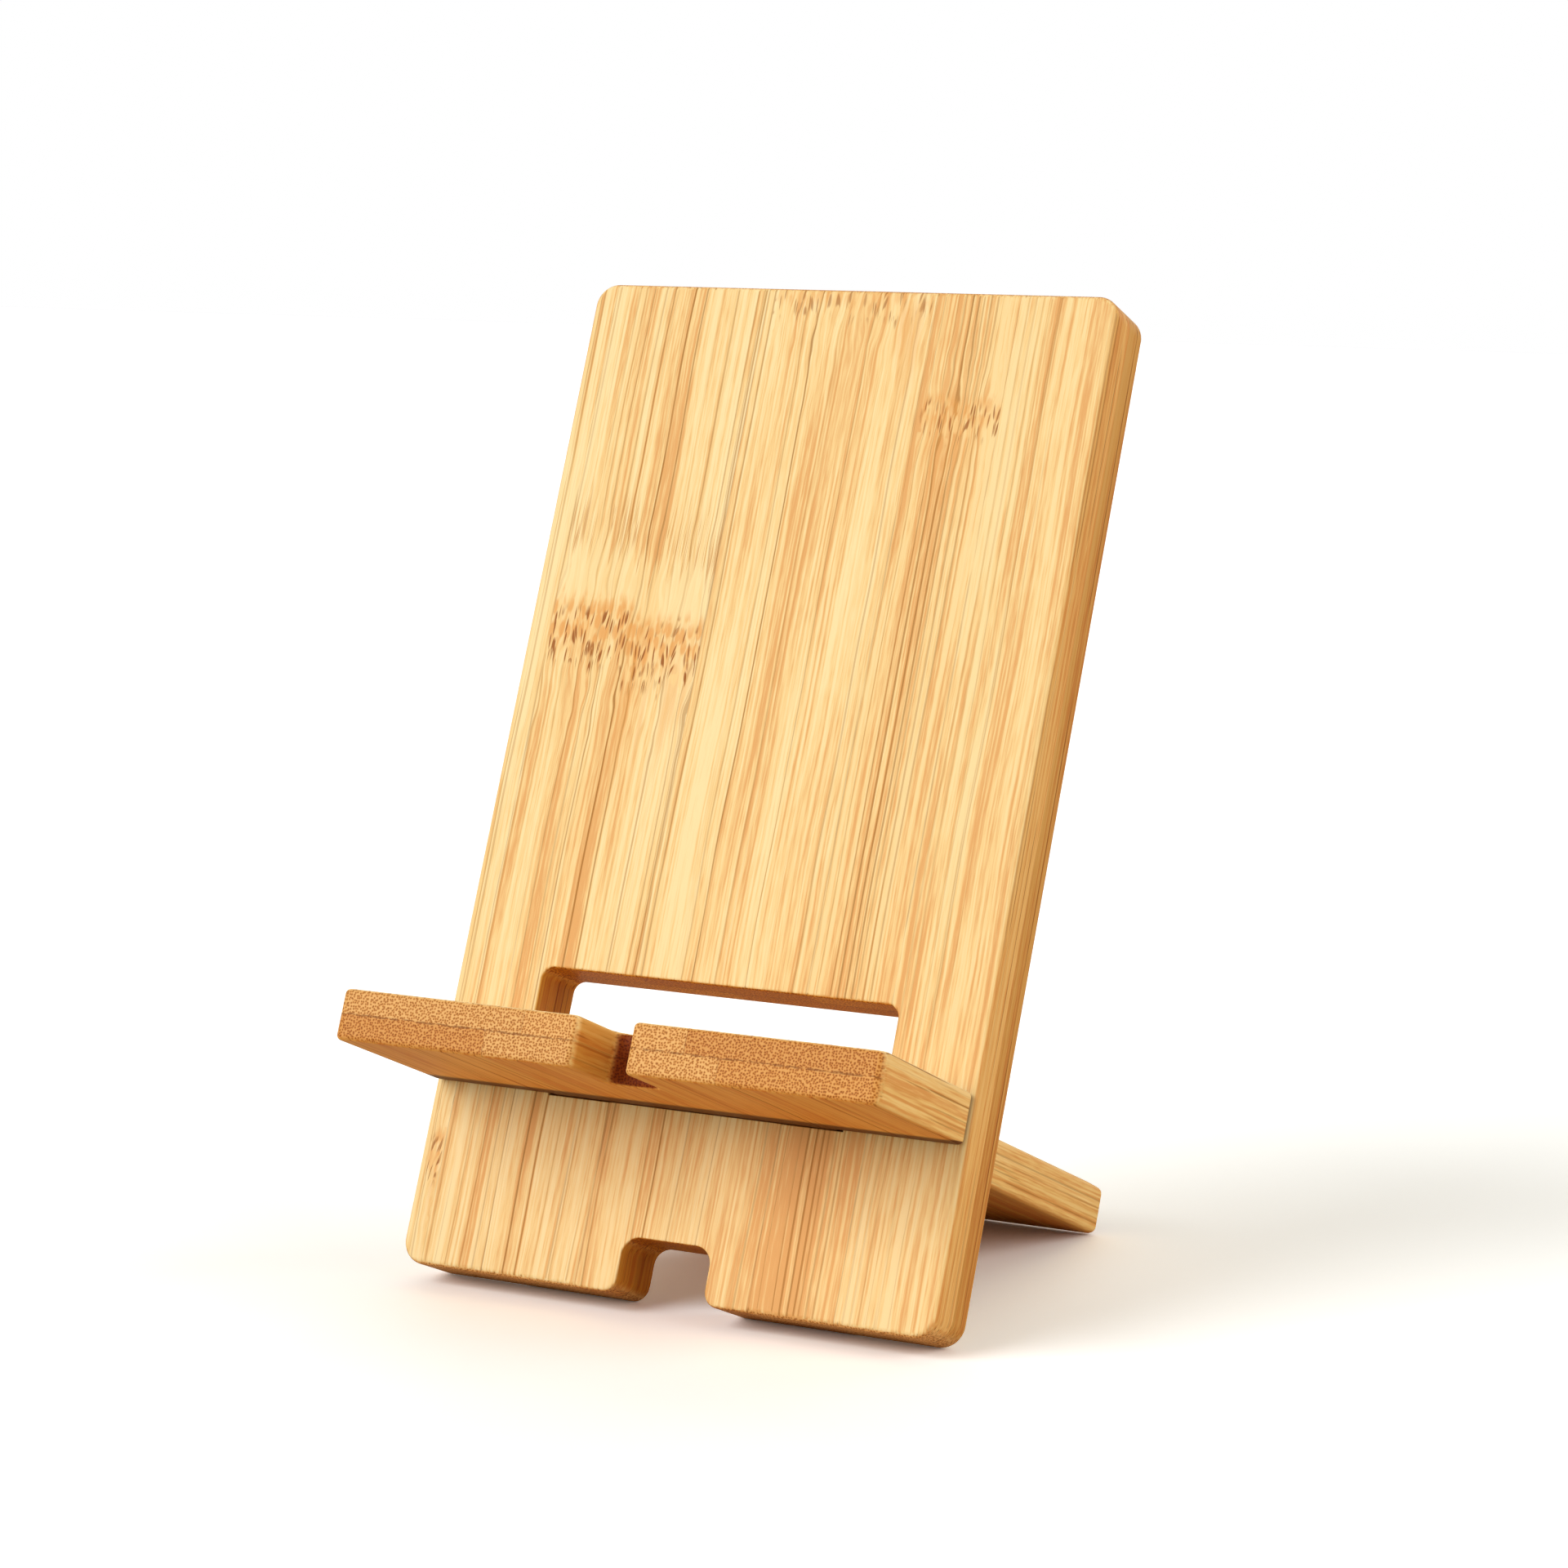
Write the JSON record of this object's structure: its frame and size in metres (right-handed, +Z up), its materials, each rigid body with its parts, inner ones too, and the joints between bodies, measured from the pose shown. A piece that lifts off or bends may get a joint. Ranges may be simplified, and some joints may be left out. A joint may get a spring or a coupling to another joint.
{
  "type": "phone stand",
  "caption": "Two-board bamboo phone stand: a leaning back panel with a slot, and a T-shaped rest board whose head is the ledge and whose tail is the rear foot.",
  "frame": {"origin": "on the table, under the middle of the standing stand's box", "axes": "+X to the right as seen from the front, +Y from the ledge to the rear foot, +Z up; the panel leans back about 20 degrees"},
  "size_m": [0.07, 0.089, 0.118],
  "materials": {
    "face_bamboo": "satin sanded bamboo, warm honey, grain up the panel",
    "face_bamboo_pale": "satin sanded bamboo, pale honey, grain up the panel",
    "back_bamboo": "satin sanded bamboo, darker honey, grain up the panel",
    "rest_top_bamboo": "satin sanded bamboo, grain from the ledge to the tail",
    "rest_under_bamboo": "satin sanded bamboo, grain from the ledge to the tail"
  },
  "bodies": {
    "panel": {"face_strip_edge": "face_bamboo", "face_strip_left": "face_bamboo", "face_strip_middle": "face_bamboo_pale", "face_strip_middle_foot": "face_bamboo_pale", "face_strip_right": "face_bamboo", "face_strip_right_foot": "face_bamboo", "face_strip_outer": "face_bamboo_pale", "back_strip_left": "back_bamboo", "back_strip_inner_left": "back_bamboo", "back_strip_inner_left_foot": "back_bamboo", "back_strip_inner_right": "back_bamboo", "back_strip_inner_right_foot": "back_bamboo", "back_strip_right": "back_bamboo"},
    "rest_board": {"rest_top_strip_left": "rest_top_bamboo", "rest_top_strip_middle": "rest_top_bamboo", "rest_top_strip_right": "rest_top_bamboo", "rest_under_strip_left": "rest_under_bamboo", "rest_under_strip_inner_left": "rest_under_bamboo", "rest_under_strip_inner_right": "rest_under_bamboo", "rest_under_strip_right": "rest_under_bamboo"}
  },
  "joints": [
    {"name": "rest_board_lift", "type": "slide", "parent": "panel", "child": "rest_board", "axis": [0, 0.3417, 0.9398], "range_m": [0, 0.0075]}
  ]
}
